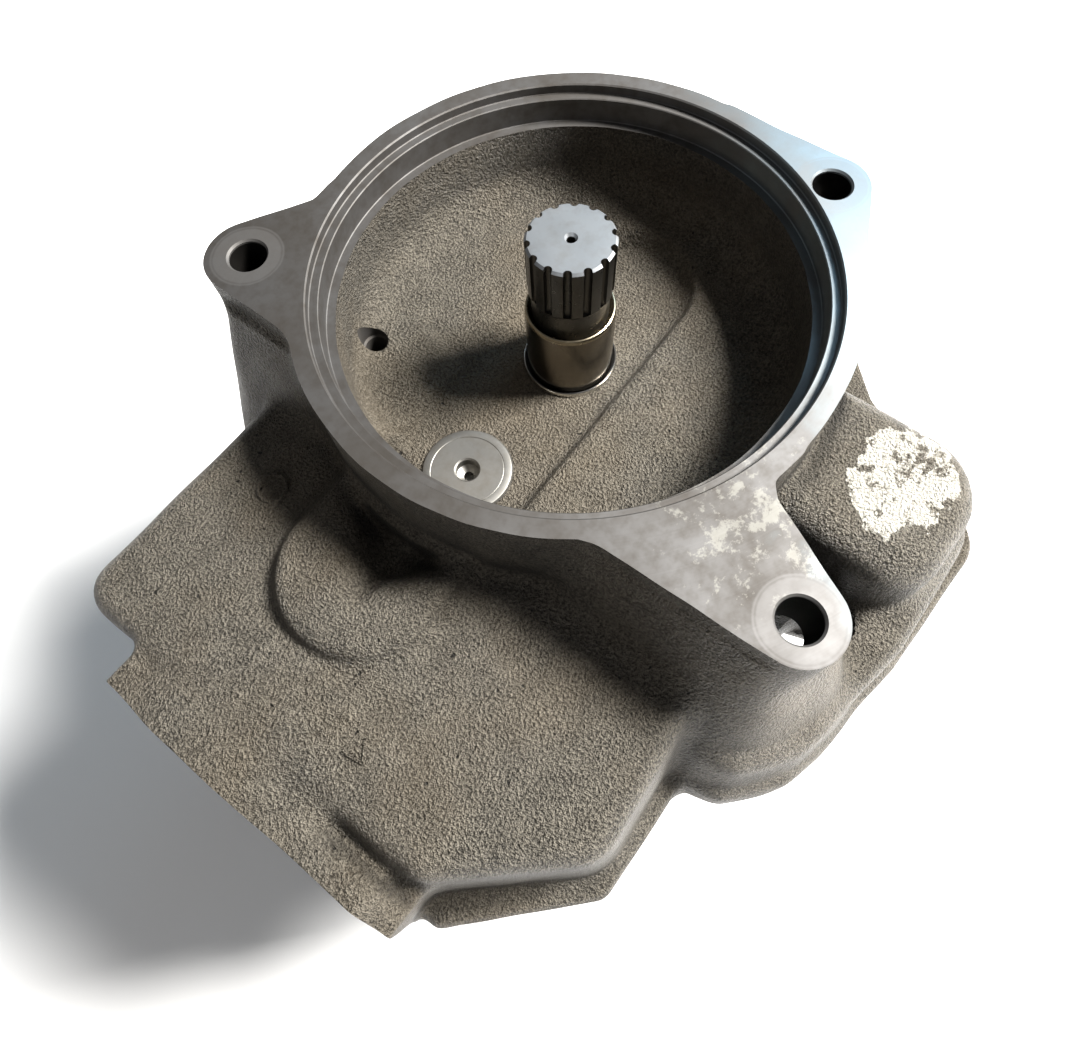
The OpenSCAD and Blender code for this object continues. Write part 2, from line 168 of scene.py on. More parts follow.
def cast_iron(name, dark, light, patch=False):
    m = Mat(name, light, 0.15, 0.5)
    m.b.inputs["Specular IOR Level"].default_value = 0.35
    grain = m.noise(740, 2.5, 0.6)
    fine = m.noise(1700, 1.0, 0.5)
    mid = m.noise(85, 3.0, 0.6)
    blotch = m.noise(9, 4.0, 0.62)
    tone = m.math("ADD", m.math("MULTIPLY", grain, 0.5), m.math("MULTIPLY", mid, 0.15))
    tone = m.math("ADD", tone, m.math("MULTIPLY", fine, 0.35))
    color = m.mix(m.ramp(tone, [(0.40, 0.0), (0.60, 1.0)]), dark, light)
    brown = tuple(a * b for a, b in zip(light, (0.92, 0.78, 0.60)))
    color = m.mix(m.ramp(blotch, [(0.42, 0.0), (0.75, 0.45)]), color, brown)
    pits = m.ramp(m.noise(330, 0.0, 0.4), [(0.12, 0.0), (0.16, 1.0)])
    color = m.mix(pits, tuple(0.4 * c for c in dark), color)
    rough = m.ramp(m.noise(30, 3.0), [(0.3, 0.42), (0.7, 0.58)])
    height = m.math("ADD", m.math("MULTIPLY", grain, 0.8), m.math("MULTIPLY", fine, 0.2))
    normal = m.bump(m.math("ADD", height, m.math("MULTIPLY", pits, 0.3)), 1.0, 0.0055)
    normal = m.bump(mid, 0.3, 0.0022, normal)
    # painted shade: darker in corners, hollows and on walls, from the grime attribute
    grime = m.node("ShaderNodeAttribute", attribute_name="grime").outputs["Fac"]
    color = m.mix(grime, color, tuple(0.5 * c for c in dark))
    if patch:
        x, y, z = m.xyz()
        u = m.math("MULTIPLY", m.math("SUBTRACT", x, 0.022), 27.0)
        v = m.math("MULTIPLY", m.math("SUBTRACT", y, -0.169), 36.0)
        d = m.math("ADD", m.math("MULTIPLY", u, u), m.math("MULTIPLY", v, v))
        d = m.math("ADD", d, m.math("MULTIPLY", m.math("SUBTRACT", m.noise(70, 4.0, 0.65), 0.5), 1.6))
        holes = m.ramp(m.noise(105, 6.0, 0.78), [(0.43, 0.0), (0.48, 1.0)])
        inside = m.ramp(d, [(0.62, 1.0), (0.68, 0.0)])
        up = m.ramp(m.math("MULTIPLY", z, -10.0), [(0.56, 1.0), (0.6, 0.0)])
        paint = m.math("MULTIPLY", m.math("MULTIPLY", inside, holes), up)
        color = m.mix(paint, color, (0.40, 0.385, 0.34))
        return m.finish(color, rough, normal, m.math("SUBTRACT", 0.15, m.math("MULTIPLY", paint, 0.15)))
    return m.finish(color, rough, normal)


def machined(name, base, stain=0.5, rough=0.3, dirt_and_shade=0.0):
    """Turned or milled iron: fine tool marks round the bore axis, stains and pale spots."""
    m = Mat(name, base, 0.95, rough)
    x, y, z = m.xyz()
    r = m.math("SQRT", m.math("ADD", m.math("MULTIPLY", x, x), m.math("MULTIPLY", y, y)))
    co = m.node("ShaderNodeCombineXYZ")
    m.put(m.math("MULTIPLY", r, 1500.0), co.inputs[0])
    m.put(m.math("MULTIPLY", z, 900.0), co.inputs[1])
    lines = m.noise(1.0, 2.0, 0.6, co.outputs[0])
    cloud = m.noise(20, 5.0, 0.65)
    fine = m.noise(160, 3.0, 0.6)
    dull = tuple(c * k for c, k in zip(base, (0.50, 0.44, 0.37)))
    color = m.mix(m.ramp(cloud, [(0.38, 0.0), (0.64, stain)]), base, dull)
    color = m.mix(m.ramp(fine, [(0.45, 0.0), (0.75, 0.35)]), color, dull)
    if dirt_and_shade:
        # oily brown film, and painted shade: darker on the side away from ear B and the lights; whitish corrosion near
        # ear C
        side = m.math("ADD", m.math("MULTIPLY", x, -3.2), m.math("MULTIPLY", y, 1.2))
        film_and_shade = m.ramp(m.math("ADD", side, m.math("MULTIPLY", cloud, 0.7)), [(0.25, 0.0), (0.8, dirt_and_shade)])
        color = m.mix(film_and_shade, color, tuple(0.42 * v for v in dull))
        u = m.math("MULTIPLY", m.math("ADD", x, 0.052), 24.0)
        v = m.math("MULTIPLY", m.math("ADD", y, 0.128), 24.0)
        d = m.math("ADD", m.math("MULTIPLY", u, u), m.math("MULTIPLY", v, v))
        crust = m.math("SUBTRACT", m.noise(95, 6.0, 0.75), m.math("MULTIPLY", d, 0.1))
        crust = m.ramp(crust, [(0.50, 0.0), (0.56, 0.55)])
        color = m.mix(crust, color, (0.21, 0.205, 0.185))
        # painted reflection: bluish and lighter towards ear B, on the side facing the lights
        painted_sheen = m.math("MULTIPLY", m.math("SUBTRACT", x, y), 2.2)
        painted_sheen = m.ramp(m.math("ADD", painted_sheen, m.math("MULTIPLY", cloud, 0.6)), [(0.50, 0.0), (0.76, 0.9)])
        color = m.mix(painted_sheen, color, (0.23, 0.28, 0.31))
        for ex, ey in (EAR_A, EAR_B, EAR_C):
            dx = m.math("SUBTRACT", x, ex * MM)
            dy = m.math("SUBTRACT", y, ey * MM)
            q = m.math("SQRT", m.math("ADD", m.math("MULTIPLY", dx, dx), m.math("MULTIPLY", dy, dy)))
            q = m.math("ADD", q, m.math("MULTIPLY", cloud, 0.002))
            seat = m.ramp(m.math("MULTIPLY", q, 20.0), [(0.33, 1.0), (0.345, 0.35), (0.36, 0.9), (0.375, 0.0)])
            color = m.mix(m.math("MULTIPLY", seat, 0.4), color, tuple(1.5 * v for v in base))
            # painted shade: near black on the walls inside the bolt holes
            painted_hole_shade = m.math("MULTIPLY", m.math("LESS_THAN", q, 0.0105), m.math("LESS_THAN", z, -0.0018))
            color = m.mix(painted_hole_shade, color, (0.012, 0.011, 0.010))
    rr = m.math("ADD", m.math("MULTIPLY", lines, 0.10), m.math("MULTIPLY", cloud, 0.30))
    rr = m.math("ADD", rr, rough - 0.12)
    if dirt_and_shade:
        rr = m.math("ADD", rr, m.math("MULTIPLY", m.math("SUBTRACT", 1.0, painted_sheen), 0.32))
    return m.finish(color, rr, m.bump(lines, 0.05, 0.0003))


def plain(name, base, metallic, rough, grain=0.0, scale=300):
    m = Mat(name, base, metallic, rough)
    n = m.noise(scale, 3.0)
    c = m.mix(m.ramp(m.noise(scale / 9, 4.0), [(0.35, 0.0), (0.7, 0.5)]), base, tuple(0.62 * v for v in base))
    rr = m.math("ADD", m.math("MULTIPLY", n, 0.16), rough - 0.08)
    return m.finish(c, rr, m.bump(n, grain, 0.0004) if grain else None)


IRON = cast_iron("front_iron", (0.028, 0.0245, 0.0195), (0.152, 0.136, 0.110), patch=True)
IRON2 = cast_iron("main_iron", (0.028, 0.025, 0.0205), (0.144, 0.130, 0.108))
MACH = machined("machined_face", (0.118, 0.115, 0.113), stain=0.6, rough=0.28, dirt_and_shade=0.3)
STEEL = plain("ground_steel", (0.56, 0.56, 0.55), 1.0, 0.28, 0.05, 900)
SPLINE = plain("spline_steel", (0.10, 0.095, 0.085), 0.95, 0.30, 0.1, 500)
ENDFACE = machined("end_face", (0.36, 0.38, 0.40), stain=0.15, rough=0.36)
SLEEVE = plain("sleeve_steel", (0.20, 0.175, 0.14), 1.0, 0.22, 0.05, 700)
GOLD = plain("sleeve_lip", (0.42, 0.36, 0.26), 1.0, 0.25, 0.0)
BRIGHT = plain("bright_rim", (0.68, 0.66, 0.62), 1.0, 0.22, 0.0)
PLUG = machined("plug_face", (0.27, 0.266, 0.252), stain=0.3, rough=0.36)
RUBBER = plain("rubber", (0.02, 0.02, 0.021), 0.0, 0.6, 0.3, 400)
BLACK = plain("blackened_steel", (0.045, 0.045, 0.047), 0.8, 0.4, 0.15, 600)
BRONZE = plain("bronze", (0.52, 0.34, 0.14), 1.0, 0.34, 0.1, 500)
SPRING = plain("spring_steel", (0.16, 0.16, 0.17), 1.0, 0.38, 0.1, 500)
GEAR = plain("hardened_steel", (0.34, 0.33, 0.32), 1.0, 0.32, 0.1, 700)
BEARING = plain("bearing_steel", (0.66, 0.66, 0.65), 1.0, 0.18, 0.0)
INNER = (("slipper", BRONZE), ("valve", BRONZE), ("cradle", BRONZE), ("disc", SPRING), ("shaft_seal", RUBBER),
         ("drive_gear", GEAR), ("driven_gear", GEAR), ("swash", GEAR), ("retainer", GEAR), ("outer", BEARING),
         ("drive_rollers", BEARING), ("driven_rollers", BEARING))


# ------------------------------------------------- distance fields for castings

def rounded(pts, steps=7):
    """Corner points (x, y, r) of an outline become arcs."""
    out, n = [], len(pts)
    for i in range(n):
        a, p, b = (np.array(pts[k % n][:2], float) for k in (i - 1, i, i + 1))
        r = pts[i][2]
        u, v = (a - p) / np.linalg.norm(a - p), (b - p) / np.linalg.norm(b - p)
        half = math.acos(float(u @ v)) / 2
        m = (u + v) / np.linalg.norm(u + v)
        c, t = p + m * r / math.sin(half), r / math.tan(half)
        a1, a2 = (math.atan2(*(p + w * t - c)[::-1]) for w in (u, v))
        d = (a2 - a1 + math.pi) % (2 * math.pi) - math.pi
        out += [c + r * np.array([math.cos(a1 + d * k / (steps - 1)), math.sin(a1 + d * k / (steps - 1))])
                for k in range(steps)]
    return np.array(out)


def union(a, b, r=0.0):
    if r <= 0:
        return np.minimum(a, b)
    return np.maximum(r, np.minimum(a, b)) - np.hypot(np.maximum(r - a, 0), np.maximum(r - b, 0))


def both(a, b, r=0.0):
    if r <= 0:
        return np.maximum(a, b)
    return np.minimum(-r, np.maximum(a, b)) + np.hypot(np.maximum(r + a, 0), np.maximum(r + b, 0))


def without(a, b, r=0.0):
    return both(a, -b, r)


def step(a, b, v):
    """0 at a, 1 at b, smooth between."""
    t = np.clip((v - a) / (b - a), 0, 1)
    return t * t * (3 - 2 * t)


class Field:
    """Distances on a grid of points; negative is inside. Millimetres."""

    def __init__(self, lo, hi, h):
        self.lo, self.h = np.array(lo, float), h
        n = [int((b - a) / h) + 2 for a, b in zip(lo, hi)]
        ax = [self.lo[i] + h * np.arange(n[i]) for i in range(3)]
        self.x = ax[0].astype(np.float32)[:, None, None]
        self.y = ax[1].astype(np.float32)[None, :, None]
        self.z = ax[2].astype(np.float32)[None, None, :]

    def outline(self, pts):
        """Distance to a closed 2-D outline, negative inside."""
        x, y = self.x[:, :, 0], self.y[:, :, 0]
        d2, odd = np.full((x.shape[0], y.shape[1]), 1e12, np.float32), np.zeros((x.shape[0], y.shape[1]), bool)
        for a, b in zip(pts, np.roll(pts, -1, 0)):
            e = b - a
            t = np.clip(((x - a[0]) * e[0] + (y - a[1]) * e[1]) / (e @ e), 0, 1)
            d2 = np.minimum(d2, (x - a[0] - t * e[0]) ** 2 + (y - a[1] - t * e[1]) ** 2)
            if a[1] != b[1]:
                odd ^= ((a[1] > y) != (b[1] > y)) & (x < a[0] + (y - a[1]) * e[0] / e[1])
        d = np.sqrt(d2)
        return np.where(odd, -d, d)[:, :, None]

    def slab(self, pts, z0, z1, top=0.0, draft=0.0, at=None, bottom=0.0):
        """An outline between two heights: walls lean out by draft below height at, top edge rounded."""
        side = self.outline(rounded(pts) if len(pts[0]) == 3 else np.array(pts, float))
        if draft:
            side = (side + draft * (self.z - (z1 if at is None else at))) / math.hypot(1, draft)
        return both(both(side, self.z - z1, top), z0 - self.z, bottom)

    def rod(self, x, y, r, z0, z1, edge=0.0, draft=0.0):
        side = np.hypot(self.x - x, self.y - y) - r
        if draft:
            side = (side + draft * (self.z - z1)) / math.hypot(1, draft)
        return both(both(side, self.z - z1, edge), z0 - self.z)

    def block(self, x0, x1, y0, y1, z0, z1, edge=0.0):
        d = both(np.abs(self.x - (x0 + x1) / 2) - (x1 - x0) / 2, np.abs(self.y - (y0 + y1) / 2) - (y1 - y0) / 2, edge)
        return both(d, np.abs(self.z - (z0 + z1) / 2) - (z1 - z0) / 2, edge)

    def rod_x(self, y, z, r, x0, x1, edge=0.0):
        d = np.hypot(self.y - y, self.z - z) - r
        return both(d, np.abs(self.x - (x0 + x1) / 2) - (x1 - x0) / 2, edge)

    def rod_y(self, x, z, r, y0, y1, edge=0.0):
        d = np.hypot(self.x - x, self.z - z) - r
        return both(d, np.abs(self.y - (y0 + y1) / 2) - (y1 - y0) / 2, edge)

    def capsule(self, x0, x1, r, z0, z1, edge=0.0, draft=0.0):
        side = np.hypot(self.x - np.clip(self.x, x0, x1), self.y) - r
        if draft:
            side = (side + draft * (self.z - z1)) / math.hypot(1, draft)
        return both(both(side, self.z - z1, edge), z0 - self.z)

    def shade(self, obj, f, reach=(5, 11, 20), strength=1.0):
        """Stores painted shade from how closed-in each point of the surface is, from 0 to 1, darker in the corners."""
        n = len(obj.data.vertices)
        co, no = np.zeros(n * 3, np.float32), np.zeros(n * 3, np.float32)
        obj.data.vertices.foreach_get("co", co)
        obj.data.vertices.foreach_get("normal", no)
        co, no = co.reshape(-1, 3) / MM, no.reshape(-1, 3)
        f = np.broadcast_to(f, (self.x.shape[0], self.y.shape[1], self.z.shape[2]))
        closed = np.zeros(n)
        for d in reach:
            q = (co + no * d - self.lo) / self.h
            q = np.clip(q, 0, np.array(f.shape) - 1.001)
            i = q.astype(int)
            t = q - i
            v = 0
            for a in (0, 1):
                for b in (0, 1):
                    for c in (0, 1):
                        w = abs(1 - a - t[:, 0]) * abs(1 - b - t[:, 1]) * abs(1 - c - t[:, 2])
                        v = v + w * f[i[:, 0] + a, i[:, 1] + b, i[:, 2] + c]
            closed += np.clip(1 - v / d, 0, 1) / len(reach)
        # painted shade: walls that face sideways or down are darker
        walls = 0.7 * np.clip(0.7 - no[:, 2], 0, 0.8)
        grime = np.clip((closed - 0.1) * 2.0 * strength + walls, 0, 0.85).astype(np.float32)
        a = obj.data.attributes.new("grime", "FLOAT", "POINT")
        a.data.foreach_set("value", grime)

    def mesh(self, f, name):
        """The surface where f is zero, by surface nets."""
        f = np.ascontiguousarray(np.broadcast_to(f, (self.x.shape[0], self.y.shape[1], self.z.shape[2])))
        inside = f < 0
        n = np.zeros(tuple(s - 1 for s in f.shape), np.int8)
        corners = [(i, j, k) for i in (0, 1) for j in (0, 1) for k in (0, 1)]
        for i, j, k in corners:
            n += inside[i:f.shape[0] - 1 + i, j:f.shape[1] - 1 + j, k:f.shape[2] - 1 + k]
        active = (n > 0) & (n < 8)
        cell = np.stack(np.nonzero(active), 1)
        index = np.full(active.shape, -1, np.int64)
        index[active] = np.arange(len(cell))
        pos, count = np.zeros((len(cell), 3)), np.zeros(len(cell))
        for a in corners:
            for axis in range(3):
                if a[axis]:
                    continue
                b = tuple(1 if m == axis else a[m] for m in range(3))
                fa = f[cell[:, 0] + a[0], cell[:, 1] + a[1], cell[:, 2] + a[2]]
                fb = f[cell[:, 0] + b[0], cell[:, 1] + b[1], cell[:, 2] + b[2]]
                m = (fa < 0) != (fb < 0)
                t = fa[m] / (fa[m] - fb[m])
                p = np.tile(np.array(a, float), (len(t), 1))
                p[:, axis] = t
                pos[m] += p
                count[m] += 1
        pos = self.lo + self.h * (cell + pos / count[:, None])
        quads = []
        for axis in range(3):
            o1, o2 = (axis + 1) % 3, (axis + 2) % 3
            lead = [slice(None)] * 3
            lead[axis] = slice(0, -1)
            tail = [slice(None)] * 3
            tail[axis] = slice(1, None)
            a, b = inside[tuple(lead)], inside[tuple(tail)]
            e = np.stack(np.nonzero(a != b), 1)
            up = a[tuple(e.T)]
            c = []
            for s1, s2 in ((0, 0), (-1, 0), (-1, -1), (0, -1)):
                q = e.copy()
                q[:, o1] += s1
                q[:, o2] += s2
                c.append(index[tuple(q.T)])
            q = np.stack(c, 1)
            q[~up] = q[~up][:, ::-1]
            quads.append(q)
        quads = np.concatenate(quads)
        me = bpy.data.meshes.new(name)
        me.vertices.add(len(pos))
        me.vertices.foreach_set("co", (pos * MM).astype(np.float32).ravel())
        me.loops.add(quads.size)
        me.loops.foreach_set("vertex_index", quads.ravel().astype(np.int32))
        me.polygons.add(len(quads))
        me.polygons.foreach_set("loop_start", np.arange(0, quads.size, 4, dtype=np.int32))
        me.update(calc_edges=True)
        me.validate()
        return me


# -------------------------------------------------------- solids for machining

def new_object(name, me, *mats):
    o = bpy.data.objects.new(name, me)
    bpy.context.scene.collection.objects.link(o)
    for m in mats:
        me.materials.append(m)
    return o


def bm_mesh(name, bm):
    me = bpy.data.meshes.new(name)
    bmesh.ops.recalc_face_normals(bm, faces=bm.faces)
    bm.to_mesh(me)
    bm.free()
    return me


AXES = {"z": Matrix.Identity(4), "x": Matrix.Rotation(math.pi / 2, 4, "Y"), "y": Matrix.Rotation(-math.pi / 2, 4, "X")}


def lathe(bm, profile, at=(0, 0, 0), axis="z", steps=64):
    """Turns (radius, height) points, listed from the axis back to the axis, round an axis. Millimetres."""
    move = Matrix.Translation(Vector(at) * MM) @ AXES[axis]
    rings = []
    for r, h in profile:
        if r < 1e-6:
            rings.append([bm.verts.new(move @ Vector((0, 0, h * MM)))])
        else:
            rings.append([bm.verts.new(move @ Vector((r * MM * math.cos(t), r * MM * math.sin(t), h * MM)))
                          for t in (2 * math.pi * i / steps for i in range(steps))])
    for a, b in zip(rings, rings[1:]):
        for i in range(steps):
            j = (i + 1) % steps
            if len(a) == 1:
                bm.faces.new((a[0], b[j], b[i]))
            elif len(b) == 1:
                bm.faces.new((a[i], a[j], b[0]))
            else:
                bm.faces.new((a[i], a[j], b[j], b[i]))
    return rings


def rod_into(bm, x, y, r, z0, z1, axis="z", steps=64, chamfer=0.0):
    """A rod from z0 to z1; a chamfer widens its z1 end."""
    top = [(r, z1 - 1 - chamfer), (r + chamfer, z1 - 1), (r + chamfer, z1)] if chamfer else [(r, z1)]
    at = {"z": (x, y, 0), "x": (0, x, y), "y": (x, 0, y)}[axis]
    lathe(bm, [(0, z0), (r, z0), *top, (0, z1)], at, axis, steps)


def box_into(bm, x0, x1, y0, y1, z0, z1):
    m = Matrix.Translation(Vector(((x0 + x1) / 2, (y0 + y1) / 2, (z0 + z1) / 2)) * MM)
    m = m @ Matrix.Diagonal(Vector(((x1 - x0) * MM, (y1 - y0) * MM, (z1 - z0) * MM, 1)))
    bmesh.ops.create_cube(bm, size=1, matrix=m)


def slab_into(bm, pts, z0, z1, move=Matrix.Identity(4)):
    """An outline between two heights, as a closed solid."""
    rings = [[bm.verts.new(move @ Vector((p[0] * MM, p[1] * MM, z * MM))) for p in pts] for z in (z0, z1)]
    bm.faces.new(rings[0][::-1])
    bm.faces.new(rings[1])
    n = len(pts)
    for i in range(n):
        bm.faces.new((rings[0][i], rings[0][(i + 1) % n], rings[1][(i + 1) % n], rings[1][i]))


def cut(obj, fills, mat, mode="DIFFERENCE"):
    """Takes the solids that each fill function draws out of obj, one after the other."""
    cutters = []
    for k, fill in enumerate(fills):
        bm = bmesh.new()
        fill(bm)
        c = new_object(f"{obj.name}_cut{k}", bm_mesh("cut", bm), mat)
        mod = obj.modifiers.new("cut", "BOOLEAN")
        mod.operation, mod.solver, mod.object, mod.material_mode = mode, "MANIFOLD", c, "TRANSFER"
        cutters.append(c)
    dg = bpy.context.evaluated_depsgraph_get()
    me = bpy.data.meshes.new_from_object(obj.evaluated_get(dg), preserve_all_data_layers=True, depsgraph=dg)
    obj.modifiers.clear()
    obj.data = me
    for c in cutters:
        bpy.data.objects.remove(c)
    return obj


def soften(obj, angle=28):
    obj.data.shade_smooth()
    obj.data.set_sharp_from_angle(angle=math.radians(angle))
    return obj


# ------------------------------------------------------------------ front casing

EARS = (
    [(-99.5, 127), (-99.5, 78), (-60, 60), (-20, 100), (-25, 124.6), (-36, 125), (-68.4, 144.5), EAR_A],
    [(129, -69), (127.8, -4), (90, 10), (30, -90), (40, -121.4), (118.5, -85.3), EAR_B],
    [(-97, -160), (-99, -80), (-60, -50), (0, -90), (-19, -126.5), (-36, -124.5), (-43, -130), (-62.9, -168), EAR_C],
)
TIPS = ((EAR_A, 20.5), (EAR_B, 18.0), (EAR_C, 18.0))
DECK = [(-242, 106, 16), (118, 106, 30), (118, -112, 20), (60, -128, 8), (-98, -128, 8), (-112, -160, 6),
        (-192, -160, 16), (-246, -110, 12)]
HIP = [(64, -100, 8), (70, -216, 24), (-30, -212, 16), (-100, -200, 14), (-129, -182, 8), (-129, -100, 6)]
LIP = [(-250, 112, 16), (132, 118, 30), (132, -118, 14), (108, -141, 14), (96, -168, 30), (62, -228, 24),
       (-26, -223, 20), (-104, -208, 14),
       (-132, -186, 8), (-134, -168, 2), (-200, -168, 10), (-257, -114, 8)]
LUMP = [(57, -118, 6), (57, -206, 32), (-24, -203, 26), (-24, -118, 6)]
CASE_BOLTS = [(-239, 96), (-77, 104), (115, 98), (115, -10), (100, -118), (30, -204), (-104, -188), (-178, -150),
              (-241, -100)]
REAR_BOLTS = [(-228, 86), (-77, 88), (74, 86), (-228, -78), (-77, -82), (74, -78)]
SLOT = Matrix.Translation((-77 * MM, -167 * MM, 0)) @ Matrix.Rotation(math.radians(-20.6), 4, "Z")
SLOT_PTS = [(-10, -10, 9.8), (52.7, -10, 9.8), (52.7, 10, 9.8), (-10, 10, 9.8)]
SPLIT = -125.0


def slot_field(g, z0, z1):
    pts = [(*(SLOT @ Vector((x * MM, y * MM, 0)) / MM)[:2], r) for x, y, r in SLOT_PTS]
    return g.slab(pts, z0, z1)


def front_casting():
    g = Field((-268, -236, -131), (140, 156, 5), GRID)
    x, y, z = g.x, g.y, g.z
    # deck, with walls that lean out towards the split line
    f = g.slab([(-243, 104, 16), (112, 104, 30), (112, -108, 20), (60, -120, 10), (-98, -122, 10), (-110, -150, 12),
                (-188, -154, 20), (-238, -100, 18)], -131, -50, top=10, draft=0.14, at=-58)
    # end towards the machined pad, level with the deck at one side and falling away at the other
    pad_top = -49 - 7 * step(-8, -58, y) - 11 * step(-84, -103, y) - 7 * step(22, 58, y)
    pad_top = pad_top - 6 * step(-44, -66, y) * np.exp(-((x + 243) / 6.5) ** 2)
    pad = both(np.maximum(y - 62, -103.5 - y), (x + 200), 2)
    pad = both(both(pad, z - pad_top, 2.5), -131 - z)
    f = union(f, pad, 6)
    # layers under the lump
    hip = g.slab([(60, -100, 8), (62, -216, 28), (-28, -215, 22), (-98, -201, 16), (-124, -180, 10), (-122, -100, 6)],
                 -131, -84, top=8, draft=0.1, at=-88)
    f = union(f, hip, 8)
    lump = g.slab(LUMP, -131, -43, top=17, draft=0.05, at=-52)
    f = union(f, lump, 9)
    f = union(f, g.slab(LIP, -131, -115, top=4, draft=0.05), 6)
    # ring wall and ears
    ears = None
    for pts in EARS:
        e = g.slab(pts, -27, 6)
        ears = e if ears is None else union(ears, e)
    for (ex, ey), r in TIPS:
        ears = union(ears, g.rod(ex, ey, r, -27, 6))
    ring = g.rod(0, 0, 128, -131, 6)
    f = union(f, ring, 7)
    # walls below the ears lean outwards
    wall_a = g.slab([(-99.5, 126, 6), (-99.5, 60, 6), (-70, 60, 6), (-58, 126, 6)], -131, -12, draft=0.33, at=-2)
    wall_c = g.slab([(-97, -164, 12), (-98, -78, 6), (-60, -78, 6), (-50, -148, 12), (-66, -176, 12)], -131, -12,
                    draft=0.36, at=-8)
    wall_b = g.slab([(127, -62, 8), (127, 2, 8), (90, 2, 8), (90, -62, 8)], -131, -12, draft=0.03)
    f = union(f, wall_a, 7)
    f = union(f, wall_c, 9)
    f = union(f, wall_b, 7)
    f = union(f, ears, 4)
    # raised end of the channel, and the hollow between it and the ring
    boss = g.capsule(-GAP - 1, -90, 37, -131, -40.5, edge=4, draft=0.55)
    f = union(f, boss, 4)
    hollow = g.slab([(-170, -9, 2), (-126, 36, 3), (-105, 30, 3), (-105, -34, 3), (-122, -38, 3)], -54, 0, draft=-0.9,
                    at=-42, bottom=3)
    f = without(f, both(hollow, 133 - np.hypot(x, y), 6), 5)
    # bowl with its large floor fillet and the sunk channel
    r = np.hypot(x, y)
    bowl = both(r - 110.5, -58 - z, 19)
    side = np.hypot(x - np.clip(x, -170, 51), y - 2) - 37
    channel = both(both(side + 2 - np.maximum(z + 66, 0) * 0.5, -66 - z, 4), r - 107, 3)
    void = union(bowl, channel, 3)
    # a low swelling round the drain hole
    void = without(void, both(np.hypot(x + 60, y - 70) - 26, np.abs(z + 66) - 10, 8), 6)
    f = without(f, void)
    # clear space for the bolts below the ears
    for (ex, ey), _ in TIPS:
        f = without(f, g.rod(ex, ey, 14, -140, -27), 1)
    f = without(f, slot_field(g, -142, -27), 1)
    f = without(f, g.block(-8, 40, -188, -136, -140, -58, 5))
    f = without(f, g.block(-208, -146, -122, -96, -140, -72, 5))
    # slight waviness of a sand casting
    f = f + 0.22 * np.sin(x / 8.3 + 1.3 * np.sin(y / 13.0)) * np.sin(y / 7.1 + z / 9.0)
    # close the field at the grid's edge
    whole = f
    f = np.maximum(f, g.block(-266, 138, -234, 154, -129, 3.4))
    o = new_object("front_casting", g.mesh(f, "front_casting"), IRON)

    def planes(bm):
        box_into(bm, -300, 200, -300, 200, 0, 40)

    def ends(bm):
        box_into(bm, -320, -261, -300, 200, -200, 20)

    def split(bm):
        box_into(bm, -320, 200, -300, 200, -200, SPLIT)

    def pilot(bm):
        lathe(bm, [(0, -17), (114.6, -17), (115, -16.6), (115, -5.2), (115.4, -4.8), (119, -4.8), (119.4, -4.4),
                   (119.4, -0.6), (120, 0), (120, 4), (0, 4)], steps=180)

    def holes(bm):
        for (ex, ey), _ in TIPS:
            lathe(bm, [(0, -29), (9, -29), (9, -0.9), (9.9, 0), (9.9, 3), (0, 3)], (ex, ey, 0), steps=48)
        rod_into(bm, 0, 0, 24.6, -81, -55, steps=96)
        rod_into(bm, -84, 1.5, 23, -77, -55, steps=72)
        lathe(bm, [(0, -104), (6, -104), (6, -59.2), (7, -58.2), (7, -40), (0, -40)], (-57.8, 84.2, 0), steps=32)

    def bearing(bm):
        rod_into(bm, 0, 0, 30, -97.5, -67, steps=96)

    def bearing2(bm):
        rod_into(bm, 0, 0, 36, -99, -74, steps=96)
        rod_into(bm, -GAP, 0, 36, -99, -74, steps=96)
        rod_into(bm, -84, 1.5, 8, -99, -70, steps=24)

    def bearing3(bm):
        rod_into(bm, -GAP, 0, 26, -90, -68, steps=96)

    def gears(bm):
        rod_into(bm, 0, 0, 86, -130, -97, steps=128)

    def gears2(bm):
        rod_into(bm, -GAP, 0, 86, -130, -97, steps=128)

    def gears3(bm):
        box_into(bm, -GAP, 0, -62, 62, -130, -97)

    def taps(bm):
        for bx, by in CASE_BOLTS:
            lathe(bm, [(0, -130), (6, -130), (6, -103), (0, -100)], (bx, by, 0), steps=24)
        for py in (-82, 42):
            for pz in (-68, -108):
                lathe(bm, [(0, -266), (5.8, -266), (5.8, -261), (5, -260.2), (5, -241), (0, -238)], (0, py, pz), "x", 24)
        lathe(bm, [(0, -266), (12.8, -266), (12.8, -261), (12, -260.2), (12, -237), (0, -236)], (0, -20, -88), "x", 48)

    cut(o, [planes, ends, split, pilot, holes, bearing, bearing2, bearing3, gears, gears2, gears3, taps], MACH)
    g.shade(o, whole)
    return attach(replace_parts(soften(o), "front_case"), "housing")


def foundry_marks():
    """A plain raised ring and triangle outline, without any lettering."""
    def fill(bm):
        lathe(bm, [(6.1, -56), (6.1, -49.2), (6.6, -48.7), (7.2, -48.7), (7.7, -49.2), (7.7, -56), (6.1, -56)],
              (-151, 64, 0), steps=48)
        corners = [Vector((-218.5, -45)), Vector((-208.5, -49)), Vector((-216.5, -55))]
        for a, b in zip(corners, corners[1:] + corners[:1]):
            side = (b - a).normalized()
            across = Vector((-side.y, side.x)) * 0.55
            slab_into(bm, [a + across, a - across, b - across, b + across], -56, -49.1)
    bm = bmesh.new()
    fill(bm)
    o = new_object("foundry_marks", bm_mesh("foundry_marks", bm), IRON)
    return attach(soften(o), "housing")


# ------------------------------------------------------------ main casing and ports

LOW_Z, BASE_Z, PORT_Z, SERVO_Z = -300.0, -372.0, -336.0, -165.0


